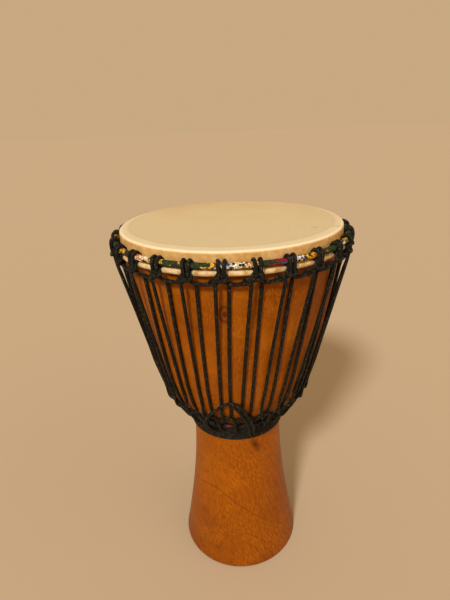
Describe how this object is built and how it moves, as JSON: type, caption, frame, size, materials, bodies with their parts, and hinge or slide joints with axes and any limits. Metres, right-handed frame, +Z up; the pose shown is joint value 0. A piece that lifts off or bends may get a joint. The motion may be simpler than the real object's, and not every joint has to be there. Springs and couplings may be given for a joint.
{
  "type": "djembe",
  "caption": "Rope-tuned wooden goblet drum with a goatskin head folded over the rim, cloth-wrapped rings, hitched cord loops, zigzag lacing and spare cord wound round the neck.",
  "frame": {"origin": "on the floor, at the middle of the foot", "axes": "+Z up along the drum's axis to the playing surface; -Y towards the side where the end of the spare cord hangs in an arch"},
  "size_m": [0.3568, 0.3564, 0.6],
  "materials": {
    "shell_wood": "orange-brown stain under a thin satin varnish",
    "goatskin": "shaved goatskin, matt, cream to golden",
    "ring_steel": "plain round bar",
    "wrap_cloth": "printed cotton strip, mostly dark green and black with bright patches",
    "cord": "braided low-stretch cord, near black"
  },
  "bodies": {
    "root": {"shell": "shell_wood", "drum_head": "goatskin", "flesh_ring": "ring_steel", "crown_ring": "ring_steel", "crown_ring_cloth": "wrap_cloth", "neck_ring": "ring_steel", "neck_ring_cloth": "wrap_cloth", "top_loop_cord": "cord", "bottom_loop_cord": "cord", "lacing_cord": "cord"}
  },
  "joints": []
}
